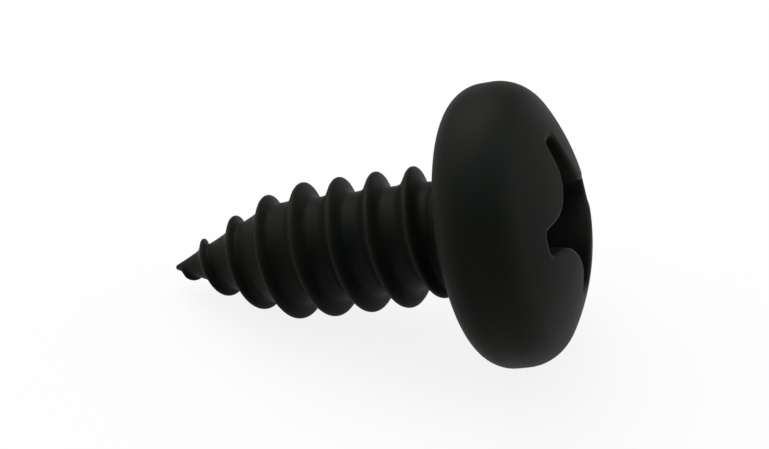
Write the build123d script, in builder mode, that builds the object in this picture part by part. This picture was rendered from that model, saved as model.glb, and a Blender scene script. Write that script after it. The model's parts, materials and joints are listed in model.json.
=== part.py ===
from build123d import *
import os
from math import asin, atan2, cos, degrees, hypot, radians, sin, sqrt, tan

# A pan head sheet metal screw with a cross recess, cold headed and thread rolled as one
# piece, in millimetres. It is shaped upright about the Z axis, with the bearing face under
# its head at Z = 0 and its point below. It is then laid on the rim of its head and a crest
# of its thread, as it comes to rest on a flat surface.

# Head
head_diameter = 12.56
head_height = 5.16
rim_height = 1.97
shoulder_radius = 1.97
rim_edge_radius = 1.49

# Shank, measured down from the bearing face
shank_length = 14.8
core_diameter = 4.68
neck_diameter = 5.0
neck_length = 1.0
neck_taper_length = 0.35
under_head_fillet = 0.65
core_point_length = 5.45
tip_radius = 0.13

# Thread, right handed. Its heights are measured up from the tip, its run-out down from the
# bearing face, and bearing_angle is where its line would cross the bearing face. A strip of
# bare core, the root flat, is left between its turns.
thread_diameter = 6.24
thread_tip_radius = 0.26
thread_point_length = 6.55
thread_point_curve = 1.28
pitch = 1.8
root_flat = 0.9
crest_flat = 0.3
thread_start = 0.2
thread_rise_length = 0.45
run_out_end = 0.7
run_out_length = 1.05
bearing_angle = 248.5

# Cross recess. Its depth is measured from the top of the dome to the foot of the wings, and
# its lands are the four corners of the head that stand between the wings.
recess_diameter = 7.0
recess_foot_diameter = 4.0
recess_depth = 3.7
recess_cone_depth = 0.9
wing_width = 1.0
wing_foot_width = 0.84
wing_flare = 12
across_lands = 4.2
across_lands_at_foot = 2.8
recess_angle = 74

# The thread is carried through this many sections a turn. Its foot is rooted this deep in the
# core, and its crest ends this far under the surface.
sections_per_turn = 12
foot_depth = 0.1
sunk_crest = 0.03

# The wings are drawn this much too long before the punch's cones cut them off
wing_overrun = 0.4

head_radius = head_diameter / 2
neck_radius = neck_diameter / 2
core_radius = core_diameter / 2
thread_radius = thread_diameter / 2
recess_radius = recess_diameter / 2
recess_foot_radius = recess_foot_diameter / 2

# The shoulder rolls from the rim's straight side over into the dome and touches both
shoulder_x = head_radius - shoulder_radius
crown = head_height - rim_height
dome_radius = (shoulder_x**2 + crown**2 - shoulder_radius**2) / (2 * (crown - shoulder_radius))
dome_centre = head_height - dome_radius
shoulder_angle = degrees(atan2(rim_height - dome_centre, shoulder_x))

# The point is a cone that touches the small ball of the tip
tip_centre = tip_radius - shank_length
cone_run = core_point_length - tip_radius
point_half_angle = atan2(core_radius, cone_run) - asin(tip_radius / hypot(core_radius, cone_run))
neck_end = -neck_length - neck_taper_length
point_top = core_point_length - shank_length

# Blank: head, neck and core turned as one profile
with BuildPart() as blank:
    with BuildSketch(Plane.XZ):
        with BuildLine():
            tip = CenterArc((0, tip_centre), tip_radius, -90, 90 - degrees(point_half_angle))
            Polyline(tip @ 1, (core_radius, point_top), (core_radius, neck_end), (neck_radius, -neck_length))
            under_head = CenterArc(
                (neck_radius + under_head_fillet, -under_head_fillet), under_head_fillet, 180, -90
            )
            Line((neck_radius, -neck_length), under_head @ 0)
            rim_edge = CenterArc((head_radius - rim_edge_radius, rim_edge_radius), rim_edge_radius, -90, 90)
            Line(under_head @ 1, rim_edge @ 0)
            shoulder = CenterArc((shoulder_x, rim_height), shoulder_radius, 0, shoulder_angle)
            Line(rim_edge @ 1, shoulder @ 0)
            dome = CenterArc((0, dome_centre), dome_radius, shoulder_angle, 90 - shoulder_angle)
            Line(dome @ 1, tip @ 0)
        make_face()
    revolve(axis=Axis.Z)


# The flanks lean just so far that the turns leave the root flat bare between them
thread_depth = thread_radius - core_radius
crest_half = crest_flat / 2
foot_half = (pitch - root_flat) / 2
flank_slope = (foot_half - crest_half) / thread_depth


def blank_at(rise):
    """Radius of the blank's point, core or neck at a height above the tip."""
    cone = core_radius - max(0, core_point_length - rise) * tan(point_half_angle)
    neck_share = max(0, min(1, (rise - shank_length - neck_end) / neck_taper_length))
    return cone + (neck_radius - core_radius) * neck_share


def presence_at(rise):
    """Share of its full height that the thread has: it rises at the point and runs out at the neck."""
    risen = (rise - thread_start) / thread_rise_length
    left = (shank_length - run_out_end - rise) / run_out_length
    return max(0, min(1, risen, left))


def crest_at(rise):
    """Radius across the thread's crest at a height above the tip."""
    taper = max(0, 1 - rise / thread_point_length) ** thread_point_curve
    envelope = thread_radius - (thread_radius - thread_tip_radius) * taper
    sunk = blank_at(rise) - sunk_crest
    return sunk + (envelope - sunk) * presence_at(rise)


def size_at(rise):
    """Size of the ridge's section against the full thread's, by its height above its foot."""
    return (crest_at(rise) - blank_at(rise) + foot_depth) / (thread_depth + foot_depth)


def foot_at(rise, side):
    """Foot of one flank, sunk in the blank and drawn towards the tip where the blank is a cone."""
    half = (foot_half + foot_depth * flank_slope) * size_at(rise)
    taper = flank_slope * (blank_at(rise + half) - blank_at(rise - half)) / (2 * half)
    away = half * (side - taper / (1 + abs(taper)))
    return blank_at(rise + away) - foot_depth, away


# Thread: a ridge with a narrow flat crest, carried up the shank turn by turn in a right-handed helix
thread_height = shank_length - run_out_end - thread_start
section_count = round(thread_height / pitch * sections_per_turn)
section_rises = [thread_start + thread_height * i / section_count for i in range(section_count + 1)]

with BuildPart() as thread:
    for first in range(0, section_count, sections_per_turn):
        for rise in section_rises[first : first + sections_per_turn + 1]:
            level = rise - shank_length
            outward = Vector(1, 0, 0).rotate(Axis.Z, bearing_angle + 360 * level / pitch)
            half = crest_half * size_at(rise)
            crest = crest_at(rise)
            with BuildSketch(Plane((0, 0, level), x_dir=outward, z_dir=outward.cross(Vector(0, 0, 1)))):
                with BuildLine():
                    Polyline(foot_at(rise, -1), (crest, -half), (crest, half), foot_at(rise, 1), close=True)
                make_face()
        loft()

# Recess: the wings of a cross, drafted along their depth and cut off by the punch's cones. The
# lands between the wings have flat noses.
dome_at_mouth = dome_centre + sqrt(dome_radius**2 - recess_radius**2)
recess_foot = head_height - recess_depth
recess_floor = recess_foot - recess_cone_depth
recess_top = head_height + (head_height - dome_at_mouth)


def along_recess(height, at_foot, at_mouth):
    """A size that changes evenly from the foot of the wings to the mouth, at a height."""
    share = (height - recess_foot) / (dome_at_mouth - recess_foot)
    return at_foot + (at_mouth - at_foot) * share


with BuildPart() as punch:
    for height in (recess_floor, recess_top):
        flare = tan(radians(wing_flare))
        reach = along_recess(height, recess_foot_radius, recess_radius) + wing_overrun
        half_width = along_recess(height, wing_foot_width, wing_width) / 2 - wing_overrun * flare
        nose = along_recess(height, across_lands_at_foot, across_lands) / sqrt(2)
        nose_x = (nose - half_width - reach * flare) / (1 - flare)
        nose_y = nose - nose_x
        quarter = ((reach, -half_width), (reach, half_width), (nose_x, nose_y), (nose_y, nose_x))
        corners = [Vector(x, y).rotate(Axis.Z, 90 * turn) for turn in range(4) for x, y in quarter]
        with BuildSketch(Plane.XY.offset(height).rotated((0, 0, recess_angle))):
            with BuildLine():
                Polyline(*corners, close=True)
            make_face()
    loft(ruled=True)
    with BuildSketch(Plane.XZ):
        with BuildLine():
            Polyline(
                (0, recess_floor),
                (recess_foot_radius, recess_foot),
                (along_recess(recess_top, recess_foot_radius, recess_radius), recess_top),
                (0, recess_top),
                close=True,
            )
        make_face()
    revolve(axis=Axis.Z, mode=Mode.INTERSECT)

with BuildPart() as upright:
    add(blank.part)
    add(thread.part)
    add(punch.part, mode=Mode.SUBTRACT)


def head_reach(tilt):
    """How far the head's rim hangs below the middle of the bearing face."""
    return (head_radius - rim_edge_radius) * cos(tilt) + rim_edge_radius * (1 - sin(tilt))


def thread_reach(tilt):
    """How far the lowest crest of the thread hangs below the middle of the bearing face."""
    lowest = 0
    steps = round(thread_height / pitch * 180)
    for step in range(steps):
        rise = thread_start + thread_height * step / steps
        level = rise - shank_length
        angle = radians(bearing_angle + 360 * level / pitch)
        edge = level - crest_half * size_at(rise)
        lowest = max(lowest, crest_at(rise) * cos(angle) * cos(tilt) - edge * sin(tilt))
    return lowest


# The tilt at which the rim and the thread stand on one level is closed in on by halves
low_tilt, high_tilt = 0, radians(60)
for _ in range(40):
    rest_tilt = (low_tilt + high_tilt) / 2
    if head_reach(rest_tilt) > thread_reach(rest_tilt):
        low_tilt = rest_tilt
    else:
        high_tilt = rest_tilt

# The screw lies along X with its head up the slope, and the middle of its length at X = 0
dome_end = dome_centre * cos(rest_tilt) + dome_radius
point_end = tip_centre * cos(rest_tilt) - tip_radius
rest_plane = Plane(
    (-(dome_end + point_end) / 2, 0, head_reach(rest_tilt)),
    x_dir=(sin(rest_tilt), 0, -cos(rest_tilt)),
    z_dir=(cos(rest_tilt), 0, sin(rest_tilt)),
)

with BuildPart(rest_plane) as screw:
    add(upright.part)

screw.part.label = "screw"
os.makedirs("parts", exist_ok=True)
export_step(screw.part, "parts/screw.step")
print("resting tilt in degrees", round(degrees(rest_tilt), 3), "bearing face at", rest_plane.origin)
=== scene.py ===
"""A black pan head sheet metal screw, lying on a pale floor on the rim of its head and its thread.

The skin of the whole screw is one closed surface, worked out row by row from the tip to the
floor of the recess. All forms are in millimetres in the screw's own frame, with Z along its
axis towards the head and the bearing face at Z = 0, and are then laid into the CAD frame.
"""

import json
import logging
from dataclasses import dataclass, field
from enum import Enum
from math import cos, degrees, hypot, radians, sin, sqrt, tan

import bpy
import numpy as np
from mathutils import Matrix, Vector


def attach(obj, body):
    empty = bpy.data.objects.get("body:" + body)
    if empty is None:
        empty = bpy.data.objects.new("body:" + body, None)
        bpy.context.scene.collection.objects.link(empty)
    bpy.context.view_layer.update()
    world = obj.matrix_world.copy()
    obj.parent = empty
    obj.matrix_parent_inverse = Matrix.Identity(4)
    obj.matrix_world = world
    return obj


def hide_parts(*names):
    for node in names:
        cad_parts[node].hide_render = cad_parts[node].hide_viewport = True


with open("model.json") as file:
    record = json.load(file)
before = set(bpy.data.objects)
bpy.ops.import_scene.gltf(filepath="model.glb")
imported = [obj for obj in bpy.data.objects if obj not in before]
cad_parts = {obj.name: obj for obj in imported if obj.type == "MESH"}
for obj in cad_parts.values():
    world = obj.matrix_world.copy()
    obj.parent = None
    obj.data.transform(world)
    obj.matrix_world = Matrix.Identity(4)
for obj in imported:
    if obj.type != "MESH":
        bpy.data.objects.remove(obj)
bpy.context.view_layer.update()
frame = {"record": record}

log = logging.getLogger("screw")
MILLIMETRE = 0.001
WHITE = (1.0, 1.0, 1.0, 1.0)


def soft_max(first: np.ndarray, second: np.ndarray, rounding: np.ndarray) -> np.ndarray:
    """Larger of two heights, rounded where they cross.

    Half of the sum of both and of the square root of their difference squared plus the
    rounding squared, which is the larger one far from the crossing.

    Args:
        first: One height.
        second: The other height.
        rounding: Twice the lift at the crossing.

    Returns:
        The rounded larger height.
    """
    return (first + second + np.sqrt((first - second) ** 2 + rounding**2)) / 2


def smooth_step(share: np.ndarray) -> np.ndarray:
    """Rise from 0 to 1 that starts and ends level: three squares less two cubes of the share."""
    held = np.clip(share, 0, 1)
    return held * held * (3 - 2 * held)


def arc_rows(centre: tuple[float, float], radius: float, start: float, end: float, count: int) -> np.ndarray:
    """Points of an arc in the profile plane, without its first point.

    Args:
        centre: Radius and height of the arc's middle.
        radius: The arc's own radius.
        start: Angle at its start in degrees, from the radial direction upwards.
        end: Angle at its end.
        count: Number of steps.

    Returns:
        Array of count rows of radius and height.
    """
    turn = np.radians(np.linspace(start, end, count + 1)[1:])
    return np.stack([centre[0] + radius * np.cos(turn), centre[1] + radius * np.sin(turn)], axis=1)


class Skin:
    """Rows of points round the screw's axis, and the faces between them."""

    def __init__(self, columns: int) -> None:
        """Starts an empty skin.

        Args:
            columns: Number of points in a full row.
        """
        self.columns = columns
        self.points: list[np.ndarray] = []
        self.wear_and_highlight: list[np.ndarray] = []
        self.corners: list[np.ndarray] = []
        self.count = 0

    def add(self, points: np.ndarray, wear_and_highlight: np.ndarray | float = 0.0) -> np.ndarray:
        """Adds points and gives their numbers.

        Args:
            points: Array whose last axis holds X, Y and Z.
            wear_and_highlight: How much each point is rubbed and lightened as a painted highlight, from 0 to
                1.

        Returns:
            Numbers of the points, in the shape of the array without its last axis.
        """
        shape = points.shape[:-1]
        total = int(np.prod(shape))
        self.points.append(points.reshape(-1, 3))
        self.wear_and_highlight.append(np.broadcast_to(wear_and_highlight, shape).reshape(-1))
        numbers = self.count + np.arange(total).reshape(shape)
        self.count += total
        return numbers

    def pole(self, height: float, middle: tuple[float, float] = (0.0, 0.0)) -> np.ndarray:
        """Adds one point that closes the skin, and gives a full row of its number."""
        return np.repeat(self.add(np.array([[*middle, height]])), self.columns)[None]

    def join(self, rows: np.ndarray, beyond: np.ndarray | None = None) -> None:
        """Lays faces between rows that follow each other upwards.

        Args:
            rows: Point numbers, one row after the other.
            beyond: The column that follows the last one. By default it is the first one.
        """
        following = rows[:, :1] if beyond is None else beyond[:, None]
        wide = np.concatenate([rows, following], axis=1)
        quads = np.stack([wide[:-1, :-1], wide[:-1, 1:], wide[1:, 1:], wide[1:, :-1]], axis=-1)
        self.corners.append(quads.reshape(-1, 4))

    def mesh(self, name: str, place: Matrix) -> bpy.types.Mesh:
        """Makes the mesh, with corners that fall together dropped from their faces.

        Args:
            name: The mesh's name.
            place: Turns and moves the points, from millimetres into the scene's metres.

        Returns:
            A mesh with smooth faces and the wear and painted highlight mask as an attribute of its points.
        """
        corners = np.concatenate(self.corners)
        kept = corners != np.roll(corners, 1, axis=1)
        whole = kept.sum(axis=1) > 2
        corners, kept = corners[whole], kept[whole]
        used, loops = np.unique(corners[kept], return_inverse=True)
        sizes = kept.sum(axis=1)
        turn = np.array(place)
        points = np.concatenate(self.points)[used] @ turn[:3, :3].T + turn[:3, 3]

        mesh = bpy.data.meshes.new(name)
        mesh.vertices.add(len(points))
        mesh.vertices.foreach_set("co", points.astype(np.float32).ravel())
        mesh.loops.add(len(loops))
        mesh.loops.foreach_set("vertex_index", loops.astype(np.int32).ravel())
        mesh.polygons.add(len(sizes))
        mesh.polygons.foreach_set("loop_start", (np.cumsum(sizes) - sizes).astype(np.int32))
        mesh.polygons.foreach_set("use_smooth", np.ones(len(sizes), bool))
        # Mask of rubbed crests and edges: smoother there from rubbing, and lighter in colour as a painted
        # highlight.
        wear_and_highlight = mesh.attributes.new("wear_and_highlight", "FLOAT", "POINT")
        wear_and_highlight.data.foreach_set("value", np.concatenate(self.wear_and_highlight)[used].astype(np.float32))
        mesh.update(calc_edges=True)
        mesh.validate()
        return mesh


@dataclass(frozen=True)
class Shank:
    """Neck, core, thread and point. Rises are heights above the tip, in millimetres."""

    length: float = 14.8
    core_radius: float = 2.34
    neck_radius: float = 2.5
    neck_length: float = 1.0
    neck_taper_length: float = 0.35
    under_head_fillet: float = 0.65
    core_point_length: float = 5.45
    core_rounding: float = 0.08
    tip_radius: float = 0.13
    thread_radius: float = 3.12
    thread_tip_radius: float = 0.26
    thread_point_length: float = 6.55
    thread_point_curve: float = 1.28
    pitch: float = 1.8
    root_flat: float = 0.9
    crest_radius: float = 0.15
    crest_flat: float = 0.3
    thread_start: float = 0.2
    thread_rise_length: float = 0.45
    run_out_end: float = 0.7
    run_out_length: float = 1.05
    bearing_angle: float = 248.5
    foot_depth: float = 0.1
    sunk_crest: float = 0.03
    root_rounding: float = 0.25
    head_side_reach: float = 0.8
    tip_side_reach: float = 1.35
    wear_and_highlight_reach: float = 1.4
    rows_per_turn: int = 26
    spare_turns: int = 2
    crowding: float = 0.6
    ball_rows: int = 7
    snap: float = 0.012

    @property
    def point_angle(self) -> float:
        """Half angle of the core's point, whose sides touch the ball of the tip.

        Returns:
            The angle in radians.
        """
        run = self.core_point_length - self.tip_radius
        touch = np.arcsin(self.tip_radius / hypot(self.core_radius, run))
        return np.arctan2(self.core_radius, run) - touch

    @property
    def flank_slope(self) -> float:
        """Way along the axis for each millimetre of the thread's depth, before a side's own reach."""
        foot_half = (self.pitch - self.root_flat) / 2
        return (foot_half - self.crest_flat / 2) / (self.thread_radius - self.core_radius)

    def blank(self, rise: np.ndarray) -> np.ndarray:
        """Radius of the point, core or neck.

        The lesser of the point's cone and the core, rounded where they meet, with a smooth step
        added for the neck.

        Args:
            rise: Height above the tip.

        Returns:
            The blank's radius at each height.
        """
        cone = self.core_radius - (self.core_point_length - rise) * tan(self.point_angle)
        core = -soft_max(-cone, np.full_like(cone, -self.core_radius), self.core_rounding)
        taper = (rise - self.length + self.neck_length + self.neck_taper_length) / self.neck_taper_length
        return core + (self.neck_radius - self.core_radius) * smooth_step(taper)

    def presence(self, rise: np.ndarray) -> np.ndarray:
        """Share of its full height that the thread has.

        The lesser of two straight ramps, up from the thread's start and down to its run-out.

        Args:
            rise: Height of the crest above the tip.

        Returns:
            The share, from 0 to 1.
        """
        risen = (rise - self.thread_start) / self.thread_rise_length
        left = (self.length - self.run_out_end - rise) / self.run_out_length
        return np.clip(np.minimum(risen, left), 0, 1)

    def crest(self, rise: np.ndarray) -> np.ndarray:
        """Radius of the thread's crest, along a curve that narrows to the tip by a power of the rise.

        Args:
            rise: Height of the crest above the tip.

        Returns:
            The crest's radius, a little under the blank where there is no thread.
        """
        taper = np.clip(1 - rise / self.thread_point_length, 0, None) ** self.thread_point_curve
        envelope = self.thread_radius - (self.thread_radius - self.thread_tip_radius) * taper
        sunk = self.blank(rise) - self.sunk_crest
        return sunk + (envelope - sunk) * self.presence(rise)

    def size(self, rise: np.ndarray) -> np.ndarray:
        """Size of the ridge's section against the full one's, by its height above its foot."""
        full = self.thread_radius - self.core_radius + self.foot_depth
        return (self.crest(rise) - self.blank(rise) + self.foot_depth) / full

    def foot(self, rise: np.ndarray, side: np.ndarray) -> tuple[np.ndarray, np.ndarray]:
        """Foot of a flank, sunk in the blank and drawn towards the tip where the blank is a cone.

        Args:
            rise: Height of the crest above the tip.
            side: 1 for the flank towards the head, -1 for the one towards the tip.

        Returns:
            Radius of the foot, and its distance from the crest along the axis.
        """
        foot_half = (self.pitch - self.root_flat) / 2
        half = (foot_half + self.foot_depth * self.flank_slope) * self.size(rise)
        half = half * np.where(side > 0, self.head_side_reach, self.tip_side_reach)
        taper = self.flank_slope * (self.blank(rise + half) - self.blank(rise - half)) / (2 * half)
        away = half * (side - taper / (1 + np.abs(taper)))
        return self.blank(rise + away) - self.foot_depth, away

    def ridge(self, crest_rise: np.ndarray, away: np.ndarray) -> np.ndarray:
        """Radius of the ridge beside its crest.

        The crest is an arc. On each side the flank is the straight line that touches this arc
        and passes through the flank's foot.

        Args:
            crest_rise: Height of the crest above the tip.
            away: Distance from the crest along the axis, towards the head where positive.

        Returns:
            The ridge's radius, which lies inside the blank beyond its feet.
        """
        rounding = self.crest_radius * self.size(crest_rise)
        middle = self.crest(crest_rise) - rounding
        foot_radius, foot_away = self.foot(crest_rise, np.where(away < 0, -1.0, 1.0))
        reach, drop = np.abs(foot_away), middle - foot_radius
        lean = np.arcsin(np.clip(rounding / np.hypot(reach, drop), -1, 1)) + np.arctan2(drop, reach)
        aside = np.abs(away)
        flank = middle + (rounding - aside * np.sin(lean)) / np.cos(lean)
        arc = middle + np.sqrt(np.clip(rounding**2 - aside**2, 0, None))
        return np.where(aside < rounding * np.sin(lean), arc, flank)

    def surface(self, height: np.ndarray, angle: np.ndarray) -> tuple[np.ndarray, np.ndarray]:
        """Radius of the shank's surface: the largest of the blank and the three nearest turns.

        Args:
            height: Height over the bearing face, negative on the shank.
            angle: Angle round the axis in degrees.

        Returns:
            The radius, and how near the point is to a crest, from 0 to 1, which marks rubbing and a painted
            highlight on the crests.
        """
        crest_line = self.pitch * (angle - self.bearing_angle) / 360
        turn = np.round((height - crest_line) / self.pitch)
        radius = self.blank(height + self.length)
        nearness = np.zeros_like(radius)
        for step in (-1, 0, 1):
            crest_height = crest_line + (turn + step) * self.pitch
            rise = crest_height + self.length
            size = self.size(rise)
            radius = soft_max(radius, self.ridge(rise, height - crest_height), self.root_rounding * size)
            beside = np.abs(height - crest_height) / self.crest_radius
            # Near each crest: rubbed smoother, and painted lighter as a highlight.
            worn_and_highlit = np.clip(self.wear_and_highlight_reach - beside, 0, 1) * self.presence(rise)
            nearness = np.maximum(nearness, worn_and_highlit)
        return radius, nearness

    def build(self, skin: Skin, angles: np.ndarray) -> np.ndarray:
        """Adds the tip's ball and the threaded shank.

        The rows of the shank climb with the thread, so that one of them is always its crest.
        They crowd together at crest and root: an even share of the pitch, less a sine of twice
        the turn. Past the two end rings they are folded onto these.

        Args:
            skin: The skin that grows.
            angles: Angle of each column in degrees.

        Returns:
            Point numbers of the top ring, where the fillet under the head begins.
        """
        turn = np.radians(angles)
        outward = np.stack([np.cos(turn), np.sin(turn), np.zeros_like(turn)], axis=1)
        upward = np.array([0.0, 0.0, 1.0])

        middle = self.tip_radius - self.length
        tilt = np.linspace(-90, -degrees(self.point_angle), self.ball_rows + 1)[1:]
        ball = arc_rows((0.0, middle), self.tip_radius, -90, tilt[-1], self.ball_rows)
        rings = skin.add(ball[:, None, :1] * outward + ball[:, None, 1:] * upward)
        low, high = float(ball[-1, 1]), -self.under_head_fillet
        radius, _ = self.surface(np.full_like(angles, high), angles)
        top = skin.add(radius[:, None] * outward + high * upward)
        skin.join(np.concatenate([skin.pole(-self.length), rings]))

        share = np.arange(self.rows_per_turn) / self.rows_per_turn - 0.5
        offsets = self.pitch * (share - self.crowding * np.sin(4 * np.pi * share) / (4 * np.pi))
        first = np.floor(low / self.pitch) - self.spare_turns
        turns = np.arange(first, self.spare_turns + 1)
        steps = (turns[:, None] * self.pitch + offsets).ravel()
        crest_line = self.pitch * (angles - self.bearing_angle % 360) / 360
        height = steps[:, None] + crest_line
        radius, nearness = self.surface(height, np.broadcast_to(angles, height.shape))
        points = radius[..., None] * outward + height[..., None] * upward
        numbers = skin.add(points, nearness)
        numbers = np.where(height < low + self.snap, rings[-1], numbers)
        numbers = np.where(height > high - self.snap, top, numbers)
        beyond = np.concatenate([numbers[self.rows_per_turn :, 0], np.full(self.rows_per_turn, top[0])])
        skin.join(numbers, beyond)
        return top


@dataclass(frozen=True)
class Recess:
    """Cross recess, a little off the screw's axis.

    Its wings narrow with depth, and its lands have flat noses with soft corners.
    """

    radius: float = 3.55
    foot_radius: float = 2.0
    depth: float = 3.7
    cone_depth: float = 0.9
    wing_width: float = 1.05
    wing_foot_width: float = 0.84
    wing_flare: float = 6.0
    nose: float = 1.80
    nose_at_foot: float = 1.3
    angle: float = 76.3
    middle: tuple[float, float] = (-0.33, -0.26)
    wing_corner: float = 0.25
    nose_corner: float = 1.7
    nose_corner_at_foot: float = 0.5
    mouth_rounding: float = 0.2
    mouth_rows: int = 6
    wall_rows: int = 9
    floor_rows: int = 9
    end_steps: int = 3
    tip_steps: int = 5
    side_steps: int = 9
    corner_steps: int = 8
    nose_steps: int = 5

    @property
    def quarter(self) -> int:
        """Number of columns in a quarter of the outline, from one wing's middle to the next one's."""
        return 2 * sum(self.steps)

    @property
    def steps(self) -> tuple[int, ...]:
        """Numbers of columns along the five parts of an eighth of the outline."""
        return self.end_steps, self.tip_steps, self.side_steps, self.corner_steps, self.nose_steps

    @property
    def columns(self) -> int:
        """Number of columns in the whole outline."""
        return 4 * self.quarter

    def outline(self, share: np.ndarray, offset: np.ndarray | float = 0.0) -> np.ndarray:
        """Outline of the cross at a level, for all columns.

        An eighth of it is worked out, from a wing's middle to the middle of a land's nose: an
        arc about the middle of the recess, the tip's small arc, the straight side of the wing,
        the arc of the land's corner and half of its flat nose. The others are this one mirrored
        and turned.

        Args:
            share: Height of each row and column, 0 at the foot of the wings and 1 at the mouth.
            offset: How far the outline is moved out into the metal.

        Returns:
            X and Y of each row and column.
        """
        column = np.arange(self.columns)
        step = column % self.quarter
        mirrored = step > self.quarter // 2
        step = np.where(mirrored, self.quarter - step, step).astype(float)

        reach = self.foot_radius + (self.radius - self.foot_radius) * share
        half_width = (self.wing_foot_width + (self.wing_width - self.wing_foot_width) * share) / 2
        nose = self.nose_at_foot + (self.nose - self.nose_at_foot) * share
        corner = self.nose_corner_at_foot + (self.nose_corner - self.nose_corner_at_foot) * share
        flare = radians(self.wing_flare)
        lean = radians(90) - flare
        normal, along = (sin(flare), cos(flare)), (cos(flare), -sin(flare))

        side = half_width * cos(flare) + reach * sin(flare)
        tip_along = np.sqrt((reach - self.wing_corner) ** 2 - (side - self.wing_corner) ** 2)
        tip_x = (side - self.wing_corner) * normal[0] + tip_along * along[0]
        tip_y = (side - self.wing_corner) * normal[1] + tip_along * along[1]
        end_turn = np.arctan2(tip_y, tip_x)

        bend = lean - radians(45)
        middle_across = nose + corner
        middle_aside = (middle_across * cos(bend) - side - corner) / sin(bend)
        land_x = (middle_across + middle_aside) / sqrt(2)
        land_y = (middle_across - middle_aside) / sqrt(2)
        touch_tip = (tip_x + self.wing_corner * normal[0], tip_y + self.wing_corner * normal[1])
        touch_land = (land_x - corner * normal[0], land_y - corner * normal[1])

        marks = np.cumsum(self.steps)
        starts = np.concatenate([[0], marks[:-1]])
        parts = [(step - start) / (mark - start) for start, mark in zip(starts, marks)]
        turns = [
            end_turn * parts[0],
            end_turn + (lean - end_turn) * parts[1],
            np.full_like(share + step, lean),
            lean - bend * parts[3] + 0 * share,
            np.full_like(share + step, radians(45)),
        ]
        xs = [
            reach * np.cos(turns[0]),
            tip_x + self.wing_corner * np.cos(turns[1]),
            touch_tip[0] + (touch_land[0] - touch_tip[0]) * parts[2],
            land_x - corner * np.cos(turns[3]),
            land_x - corner * sqrt(0.5) - middle_aside * sqrt(0.5) * parts[4],
        ]
        ys = [
            reach * np.sin(turns[0]),
            tip_y + self.wing_corner * np.sin(turns[1]),
            touch_tip[1] + (touch_land[1] - touch_tip[1]) * parts[2],
            land_y - corner * np.sin(turns[3]),
            land_y - corner * sqrt(0.5) + middle_aside * sqrt(0.5) * parts[4],
        ]
        choice = [np.broadcast_to(step <= mark, (share + step).shape) for mark in marks]
        turn = np.select(choice, turns)
        x = np.select(choice, xs) + offset * np.cos(turn)
        y = np.select(choice, ys) + offset * np.sin(turn)
        x, y = np.where(mirrored, y, x), np.where(mirrored, x, y)
        around = np.radians(self.angle + 90 * (column // self.quarter))
        turned = [x * np.cos(around) - y * np.sin(around), x * np.sin(around) + y * np.cos(around)]
        return np.stack(turned, axis=-1) + self.middle

    def spread(self, flat: np.ndarray) -> np.ndarray:
        """Distance of points from the middle of the recess."""
        return np.linalg.norm(flat - self.middle, axis=-1)


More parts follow.
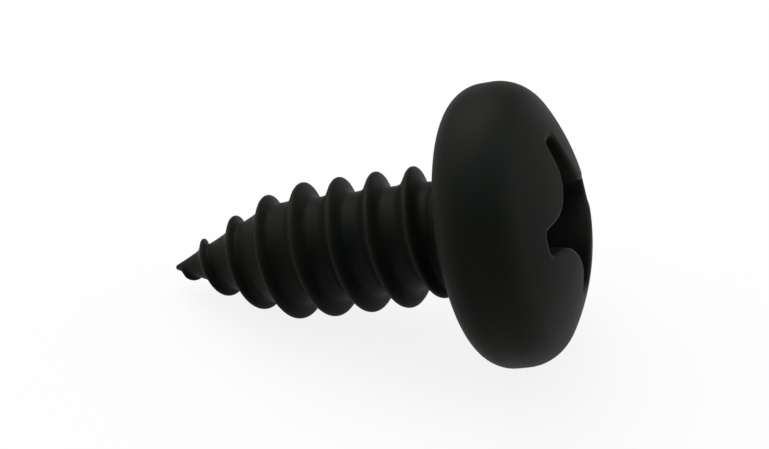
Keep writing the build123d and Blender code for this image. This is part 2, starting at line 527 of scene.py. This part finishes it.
@dataclass(frozen=True)
class Head:
    """Pan head: bearing face, rounded rim, shoulder and dome, with the recess in the dome."""

    radius: float = 6.28
    height: float = 5.16
    rim_height: float = 1.97
    shoulder_radius: float = 1.97
    rim_edge_radius: float = 1.49
    blend_radius: float = 4.8
    fillet_rows: int = 9
    face_rows: int = 5
    rim_rows: int = 14
    shoulder_rows: int = 14
    dome_rows: int = 3
    blend_rows: int = 12
    rounds: int = 12
    recess: Recess = field(default_factory=Recess)

    @property
    def dome_radius(self) -> float:
        """Radius of the dome, whose sphere touches the shoulder's arc and the head's top plane.

        Returns:
            The sphere's radius.
        """
        across = self.radius - self.shoulder_radius
        crown = self.height - self.rim_height
        return (across**2 + crown**2 - self.shoulder_radius**2) / (2 * (crown - self.shoulder_radius))

    def dome(self, flat: np.ndarray) -> np.ndarray:
        """Height of the dome over a point, by the sphere's own formula."""
        return self.height - self.dome_radius + np.sqrt(self.dome_radius**2 - (flat**2).sum(axis=-1))

    def profile(self, shank: Shank) -> np.ndarray:
        """Profile from the neck, round the fillet, the bearing face, the rim and the shoulder, to the dome.

        Args:
            shank: Gives the neck's radius and the fillet's.

        Returns:
            Rows of radius and height.
        """
        fillet, neck = shank.under_head_fillet, shank.neck_radius
        rim_middle = self.radius - self.rim_edge_radius
        across = self.radius - self.shoulder_radius
        centre = self.height - self.dome_radius
        roll = degrees(np.arctan2(self.rim_height - centre, across))
        dome_end = degrees(np.arccos(self.blend_radius / self.dome_radius))
        face = np.linspace(neck + fillet, rim_middle, self.face_rows + 1)[1:]
        return np.concatenate([
            arc_rows((neck + fillet, -fillet), fillet, 180, 90, self.fillet_rows),
            np.stack([face, np.zeros_like(face)], axis=1),
            arc_rows((rim_middle, self.rim_edge_radius), self.rim_edge_radius, -90, 0, self.rim_rows),
            [[self.radius, self.rim_height]],
            arc_rows((across, self.rim_height), self.shoulder_radius, 0, roll, self.shoulder_rows),
            arc_rows((0.0, centre), self.dome_radius, roll, dome_end, self.dome_rows),
        ])

    def mouth_share(self, offset: float) -> np.ndarray:
        """Level of the recess outline that meets the dome in each column.

        The outline depends on its level and the dome's height on the outline, so the two are
        brought together in a few rounds, each of which starts from the last one's level.

        Args:
            offset: How far the outline is moved out into the metal.

        Returns:
            Share of the wings' height for each column.
        """
        foot = self.height - self.recess.depth
        mouth = self.dome(np.array([self.recess.radius, 0.0]))
        share = np.ones(self.recess.columns)
        for _ in range(self.rounds):
            share = (self.dome(self.recess.outline(share, offset)) - foot) / (mouth - foot)
        return share

    def build(self, skin: Skin, angles: np.ndarray, shank: Shank, top: np.ndarray) -> None:
        """Adds the head from the neck's ring to the bottom of the recess.

        Args:
            skin: The skin that grows.
            angles: Angle of each column in degrees.
            shank: Gives the neck that the head stands on.
            top: Point numbers of the neck's ring.
        """
        turn = np.radians(angles)
        outward = np.stack([np.cos(turn), np.sin(turn), np.zeros_like(turn)], axis=1)
        upward = np.array([0.0, 0.0, 1.0])
        profile = self.profile(shank)
        outside = skin.add(profile[:, None, :1] * outward + profile[:, None, 1:] * upward)

        recess = self.recess
        foot = self.height - recess.depth
        mouth = float(self.dome(np.array([recess.radius, 0.0])))
        share = self.mouth_share(0.0)

        lip = recess.outline(share, recess.mouth_rounding)
        pull = smooth_step(np.arange(1, self.blend_rows + 1) / self.blend_rows)[:, None, None]
        flat = self.blend_radius * outward[:, :2] * (1 - pull) + lip * pull
        blend = skin.add(np.concatenate([flat, self.dome(flat)[..., None]], axis=-1))

        bend = np.radians(np.linspace(0, 90, recess.mouth_rows + 1)[1:])[:, None]
        sunk = recess.mouth_rounding * (1 - np.cos(bend))
        aside = recess.mouth_rounding * (1 - np.sin(bend))
        flat = recess.outline(share - sunk / (mouth - foot), aside)
        heights = self.dome(flat) - sunk
        # Middle of the recess mouth's rounded edge: rubbed smoother, and painted lighter as a highlight.
        rubbed_highlight = np.sin(2 * bend) ** 2 + 0 * heights
        rounding = skin.add(np.concatenate([flat, heights[..., None]], axis=-1), rubbed_highlight)

        bottom = np.zeros_like(share)
        for _ in range(self.rounds):
            spread = recess.spread(recess.outline(bottom))
            height = foot - recess.cone_depth * (1 - spread / recess.foot_radius)
            bottom = (height - foot) / (mouth - foot)
        start = share - recess.mouth_rounding / (mouth - foot)
        down = np.arange(1, recess.wall_rows + 1)[:, None] / recess.wall_rows
        levels = start + (bottom - start) * down
        flat = recess.outline(levels)
        heights = foot + levels * (mouth - foot)
        walls = skin.add(np.concatenate([flat, heights[..., None]], axis=-1))

        inward = 1 - np.arange(1, recess.floor_rows)[:, None, None] / recess.floor_rows
        flat = recess.middle + (recess.outline(bottom) - recess.middle) * inward
        heights = foot - recess.cone_depth * (1 - recess.spread(flat) / recess.foot_radius)
        floor = skin.add(np.concatenate([flat, heights[..., None]], axis=-1))
        pole = skin.pole(foot - recess.cone_depth, recess.middle)
        skin.join(np.concatenate([top[None], outside, blend, rounding, walls, floor, pole]))


class Maths(Enum):
    """Operations of a Math node that the finishes use."""

    ADD = "ADD"
    SUBTRACT = "SUBTRACT"
    MULTIPLY = "MULTIPLY"
    DIVIDE = "DIVIDE"
    LARGER = "MAXIMUM"
    SMALLER = "MINIMUM"


class Value:
    """A number that changes over a surface, with the arithmetic that adds Math nodes."""

    def __init__(self, tree: "Nodes", socket: bpy.types.NodeSocket) -> None:
        """Wraps a node's output.

        Args:
            tree: The nodes that it belongs to.
            socket: The output.
        """
        self.tree = tree
        self.socket = socket

    def _maths(self, operation: Maths, first: "Value | float", second: "Value | float") -> "Value":
        """Adds one Math node and gives its result."""
        made = self.tree.add("ShaderNodeMath", {"operation": operation.value}, {0: first, 1: second})
        return made["Value"]

    def __add__(self, other: "Value | float") -> "Value":
        """Sum."""
        return self._maths(Maths.ADD, self, other)

    def __radd__(self, other: float) -> "Value":
        """Sum with a number on the left."""
        return self._maths(Maths.ADD, other, self)

    def __sub__(self, other: "Value | float") -> "Value":
        """Difference."""
        return self._maths(Maths.SUBTRACT, self, other)

    def __rsub__(self, other: float) -> "Value":
        """Difference from a number on the left."""
        return self._maths(Maths.SUBTRACT, other, self)

    def __mul__(self, other: "Value | float") -> "Value":
        """Product."""
        return self._maths(Maths.MULTIPLY, self, other)

    def __rmul__(self, other: float) -> "Value":
        """Product with a number on the left."""
        return self._maths(Maths.MULTIPLY, other, self)

    def __truediv__(self, other: "Value | float") -> "Value":
        """Quotient."""
        return self._maths(Maths.DIVIDE, self, other)

    def __rtruediv__(self, other: float) -> "Value":
        """Quotient of a number on the left."""
        return self._maths(Maths.DIVIDE, other, self)

    def held(self, least: float = 0.0, most: float = 1.0) -> "Value":
        """The value held between two limits."""
        return self._maths(Maths.SMALLER, self._maths(Maths.LARGER, self, least), most)


class Nodes:
    """The nodes of one material or world. A Mix node's sockets for colours are known by number."""

    MIX_SHARE = 0
    MIX_LOW = 6
    MIX_HIGH = 7

    def __init__(self, tree: bpy.types.NodeTree) -> None:
        """Empties the node tree.

        Args:
            tree: The tree to fill.
        """
        self.tree = tree
        tree.nodes.clear()

    def add(self, kind: str, settings: dict | None = None, inputs: dict | None = None) -> dict[str, Value]:
        """Adds a node.

        Args:
            kind: The node's type.
            settings: Properties, which are set first.
            inputs: Numbers, colours or values for its sockets, by name or number.

        Returns:
            Its outputs by name.
        """
        node = self.tree.nodes.new(kind)
        for name, setting in (settings or {}).items():
            setattr(node, name, setting)
        for name, given in (inputs or {}).items():
            if isinstance(given, Value):
                self.tree.links.new(given.socket, node.inputs[name])
            else:
                node.inputs[name].default_value = given
        return {socket.name: Value(self, socket) for socket in reversed(node.outputs) if socket.enabled}

    def mix(self, share: Value, low: tuple[float, ...] | Value, high: tuple[float, ...] | Value) -> Value:
        """Mixes two colours.

        Args:
            share: How much of the second colour there is, from 0 to 1.
            low: The first colour.
            high: The second colour.

        Returns:
            The mixed colour.
        """
        low = low if isinstance(low, Value) else (*low, 1.0)
        high = high if isinstance(high, Value) else (*high, 1.0)
        given = {self.MIX_SHARE: share, self.MIX_LOW: low, self.MIX_HIGH: high}
        return self.add("ShaderNodeMix", {"data_type": "RGBA"}, given)["Result"]


@dataclass(frozen=True)
class BlackCoating:
    """Satin black coating on steel, with a fine grain, and crests and edges rubbed smoother and painted
    lighter as a highlight.
    """

    name: str = "black_coating"
    cool: tuple[float, float, float] = (0.0086, 0.0107, 0.0091)
    warm: tuple[float, float, float] = (0.0118, 0.0126, 0.0090)
    # Lighter colour on rubbed crests and edges: a painted highlight.
    rubbed_highlight: tuple[float, float, float] = (0.0150, 0.0156, 0.0130)
    roughness: float = 0.57
    cloud_roughness: float = 0.20
    grain_roughness: float = 0.10
    least_roughness: float = 0.15
    most_roughness: float = 0.8
    rubbed_gloss: float = 0.05
    specular: float = 0.06
    noise_middle: float = 0.5
    cloud_start: float = 0.35
    cloud_contrast: float = 3.3
    cloud_scale: float = 260.0
    cloud_detail: float = 3.0
    even_rub_and_highlight: float = 0.35
    grain_scale: float = 9000.0
    dent_scale: float = 1500.0
    fine_detail: float = 2.0
    grain_height: float = 0.0000025
    dent_height: float = 0.000006

    def make(self) -> bpy.types.Material:
        """Makes the material.

        Returns:
            A material whose colour and roughness drift in soft clouds, with a fine grain and
            shallow dents in its normal.
        """
        material = bpy.data.materials.new(self.name)
        material.use_nodes = True
        nodes = Nodes(material.node_tree)
        place = nodes.add("ShaderNodeTexCoord")["Object"]
        cloud = self._noise(nodes, place, self.cloud_scale, self.cloud_detail)
        grain = self._noise(nodes, place, self.grain_scale, self.fine_detail)
        dents = self._noise(nodes, place, self.dent_scale, self.fine_detail)
        wear_and_highlight = nodes.add("ShaderNodeAttribute", {"attribute_name": "wear_and_highlight"})["Fac"]

        share = ((cloud - self.cloud_start) * self.cloud_contrast).held()
        # Crests and edges get the lighter colour as a painted highlight; their lower roughness is the
        # rubbing.
        rub_and_highlight = (wear_and_highlight * (self.even_rub_and_highlight + grain)).held()
        colour = nodes.mix(rub_and_highlight, nodes.mix(share, self.cool, self.warm), self.rubbed_highlight)
        rough = self.roughness + (cloud - self.noise_middle) * self.cloud_roughness
        rough = rough + (grain - self.noise_middle) * self.grain_roughness - rub_and_highlight * self.rubbed_gloss
        rough = rough.held(self.least_roughness, self.most_roughness)
        relief = grain * self.grain_height + dents * self.dent_height
        bump = nodes.add("ShaderNodeBump", {}, {"Strength": 1.0, "Distance": 1.0, "Height": relief})
        shader = nodes.add("ShaderNodeBsdfPrincipled", {}, {
            "Base Color": colour,
            "Roughness": rough,
            "Specular IOR Level": self.specular,
            "Normal": bump["Normal"],
        })
        nodes.add("ShaderNodeOutputMaterial", {}, {"Surface": shader["BSDF"]})
        return material

    @staticmethod
    def _noise(nodes: Nodes, place: Value, scale: float, detail: float) -> Value:
        """Noise of a scale in lumps per metre, around a half."""
        made = nodes.add("ShaderNodeTexNoise", {}, {"Vector": place, "Scale": scale, "Detail": detail})
        return made["Fac"] if "Fac" in made else made["Factor"]


@dataclass(frozen=True)
class Floor:
    """Plain pale floor, as a round sheet under the screw."""

    name: str = "floor"
    radius: float = 1.2
    columns: int = 96
    colour: tuple[float, float, float] = (0.62, 0.62, 0.62)
    roughness: float = 0.9
    glow: float = 0.8
    glow_strength: float = 1.08

    def build(self) -> bpy.types.Object:
        """Makes the floor, a disc of one centre point and one ring.

        Its material keeps the screw's shadow. What the camera and reflections see of it is
        mostly a white light, so that the ground looks plain.

        Returns:
            The floor.
        """
        turn = np.linspace(0, 2 * np.pi, self.columns, endpoint=False)
        ring = np.stack([np.cos(turn), np.sin(turn), 0 * turn], axis=1) * self.radius
        points = np.concatenate([ring, [[0.0, 0.0, 0.0]]])
        first = np.arange(self.columns)
        faces = np.stack([first, np.roll(first, -1), np.full(self.columns, self.columns)], axis=1)
        mesh = bpy.data.meshes.new(self.name)
        mesh.from_pydata(points.tolist(), [], faces.tolist())
        floor = bpy.data.objects.new(self.name, mesh)
        bpy.context.scene.collection.objects.link(floor)
        material = bpy.data.materials.new("pale_floor")
        material.use_nodes = True
        nodes = Nodes(material.node_tree)
        shader = nodes.add("ShaderNodeBsdfPrincipled", {}, {
            "Base Color": (*self.colour, 1.0),
            "Roughness": self.roughness,
            "Specular IOR Level": 0.0,
        })
        rays = nodes.add("ShaderNodeLightPath")
        seen = rays["Is Camera Ray"] + rays["Is Glossy Ray"] + rays["Is Transmission Ray"]
        light = nodes.add("ShaderNodeEmission", {}, {"Color": WHITE, "Strength": self.glow_strength})
        share = seen.held() * self.glow
        mixed = nodes.add("ShaderNodeMixShader", {}, {0: share, 1: shader["BSDF"], 2: light["Emission"]})
        nodes.add("ShaderNodeOutputMaterial", {}, {"Surface": mixed["Shader"]})
        mesh.materials.append(material)
        return floor


def direction(azimuth: float, elevation: float) -> Vector:
    """Unit vector from the screw, 0 degrees of azimuth standing in front of it on the side of -Y."""
    turn, rise = radians(azimuth), radians(elevation)
    return Vector((sin(turn) * cos(rise), -cos(turn) * cos(rise), sin(rise)))


@dataclass(frozen=True)
class Lamp:
    """A soft lamp far away, by where it stands as seen from the screw."""

    name: str
    azimuth: float
    elevation: float
    width: float
    strength: float

    def build(self) -> None:
        """Makes the lamp, which shines on the screw from its azimuth and elevation."""
        light = bpy.data.lights.new(self.name, "SUN")
        light.energy = self.strength
        light.angle = radians(self.width)
        lamp = bpy.data.objects.new(self.name, light)
        bpy.context.scene.collection.objects.link(lamp)
        lamp.rotation_euler = direction(self.azimuth, self.elevation).to_track_quat("Z", "Y").to_euler()


@dataclass(frozen=True)
class Glow:
    """A soft bright part of the surroundings, by the cosines of the angles where it starts and is full."""

    azimuth: float
    elevation: float
    start: float
    full: float
    strength: float

    def light(self, nodes: Nodes, place: Value) -> Value:
        """Gives its light in each direction, a smooth step: three squares less two cubes of the share.

        Args:
            nodes: The world's nodes.
            place: Direction that is looked at.

        Returns:
            The light.
        """
        middle = tuple(direction(self.azimuth, self.elevation))
        product = nodes.add("ShaderNodeVectorMath", {"operation": "DOT_PRODUCT"}, {0: place, 1: middle})
        share = ((product["Value"] - self.start) / (self.full - self.start)).held()
        return share * share * (3.0 - share * 2.0) * self.strength


@dataclass(frozen=True)
class Studio:
    """Floor, lamps, a dim room with soft glows, and the camera."""

    floor: Floor = field(default_factory=Floor)
    lamps: tuple[Lamp, ...] = (Lamp("soft_lamp_back", -147.0, 50.0, 42.0, 1.02),)
    room: float = 0.016
    glows: tuple[Glow, ...] = (
        Glow(-150.0, 70.0, 0.50, 0.85, 1.1),
        Glow(109.0, 21.0, 0.75, 0.97, 1.53),
        Glow(-95.0, 15.0, 0.7, 0.95, 1.02),
    )
    camera_azimuth: float = 12.758
    camera_elevation: float = 36.346
    camera_distance: float = 66.436
    aim_right: float = -3.8231
    aim_up: float = 0.2158
    lens: float = 70.446
    sensor: float = 36.0
    nearest: float = 0.001
    furthest: float = 10.0

    def build(self, bearing_centre: Vector) -> None:
        """Makes the stage and the camera.

        Args:
            bearing_centre: Middle of the bearing face in metres, which the camera is set by.
        """
        self.floor.build()
        for lamp in self.lamps:
            lamp.build()
            log.info("lamp %s", lamp.name)
        self._surroundings()
        self._camera(bearing_centre)
        bpy.context.scene.view_settings.view_transform = "Standard"

    def _surroundings(self) -> None:
        """Makes the world: a dim room with the soft glows added to it."""
        world = bpy.data.worlds.new("room")
        bpy.context.scene.world = world
        world.use_nodes = True
        nodes = Nodes(world.node_tree)
        place = nodes.add("ShaderNodeTexCoord")["Generated"]
        strength = self.room
        for glow in self.glows:
            strength = glow.light(nodes, place) + strength
        shader = nodes.add("ShaderNodeBackground", {}, {"Color": WHITE, "Strength": strength})
        nodes.add("ShaderNodeOutputWorld", {}, {"Surface": shader["Background"]})

    def _camera(self, bearing_centre: Vector) -> None:
        """Makes the camera, whose axis passes a little beside the middle of the bearing face.

        Args:
            bearing_centre: Middle of the bearing face in metres.
        """
        back = direction(self.camera_azimuth, self.camera_elevation)
        right = Vector((0, 0, 1)).cross(back).normalized()
        up = back.cross(right)
        data = bpy.data.cameras.new("camera")
        data.lens = self.lens
        data.sensor_width = self.sensor
        data.sensor_fit = "HORIZONTAL"
        data.clip_start = self.nearest
        data.clip_end = self.furthest
        camera = bpy.data.objects.new("camera", data)
        bpy.context.scene.collection.objects.link(camera)
        away = right * self.aim_right + up * self.aim_up + back * self.camera_distance
        camera.location = bearing_centre + away * MILLIMETRE
        camera.rotation_mode = "QUATERNION"
        camera.rotation_quaternion = Matrix((right, up, back)).transposed().to_quaternion()
        bpy.context.scene.camera = camera


@dataclass(frozen=True)
class Screw:
    """The whole screw, as one closed skin in place of the plain solid."""

    shank: Shank = field(default_factory=Shank)
    head: Head = field(default_factory=Head)
    coating: BlackCoating = field(default_factory=BlackCoating)
    name: str = "coated_screw"
    node: str = "screw"

    def place(self) -> Matrix:
        """Where the screw lies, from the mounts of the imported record.

        The recess mount lies on the axis at the top of the head, with the axis pointing up out
        of it. The screw's X is the line of its side that faces the floor.

        Returns:
            Matrix from the screw's millimetres to the frame's metres.
        """
        mounts = {mount["name"]: mount for mount in frame["record"]["mounts"]}
        top = Vector(mounts["drive_recess"]["pos_m"])
        axis = Vector(mounts["drive_recess"]["axis"]).normalized()
        across = Vector((0.0, 1.0, 0.0))
        downward = across.cross(axis)
        centre = top - axis * self.head.height * MILLIMETRE
        turn = Matrix((downward, across, axis)).transposed().to_4x4()
        return Matrix.Translation(centre) @ turn @ Matrix.Scale(MILLIMETRE, 4)

    def build(self) -> bpy.types.Object:
        """Builds and dresses the screw.

        Returns:
            The finished piece, riding on the body and standing for the CAD node.
        """
        columns = self.head.recess.columns
        angles = self.head.recess.angle + 360 * np.arange(columns) / columns
        skin = Skin(columns)
        top = self.shank.build(skin, angles)
        self.head.build(skin, angles, self.shank, top)
        mesh = skin.mesh(self.name, self.place())
        piece = bpy.data.objects.new(self.name, mesh)
        bpy.context.scene.collection.objects.link(piece)
        mesh.materials.append(self.coating.make())
        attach(piece, "root")
        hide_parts(self.node)
        log.info("piece %s with %d faces", self.name, len(mesh.polygons))
        return piece


def main() -> None:
    """Builds the screw and the studio."""
    logging.basicConfig(level=logging.INFO, format="%(message)s")
    screw = Screw()
    screw.build()
    Studio().build(screw.place().to_translation())


if __name__ == "__main__":
    main()
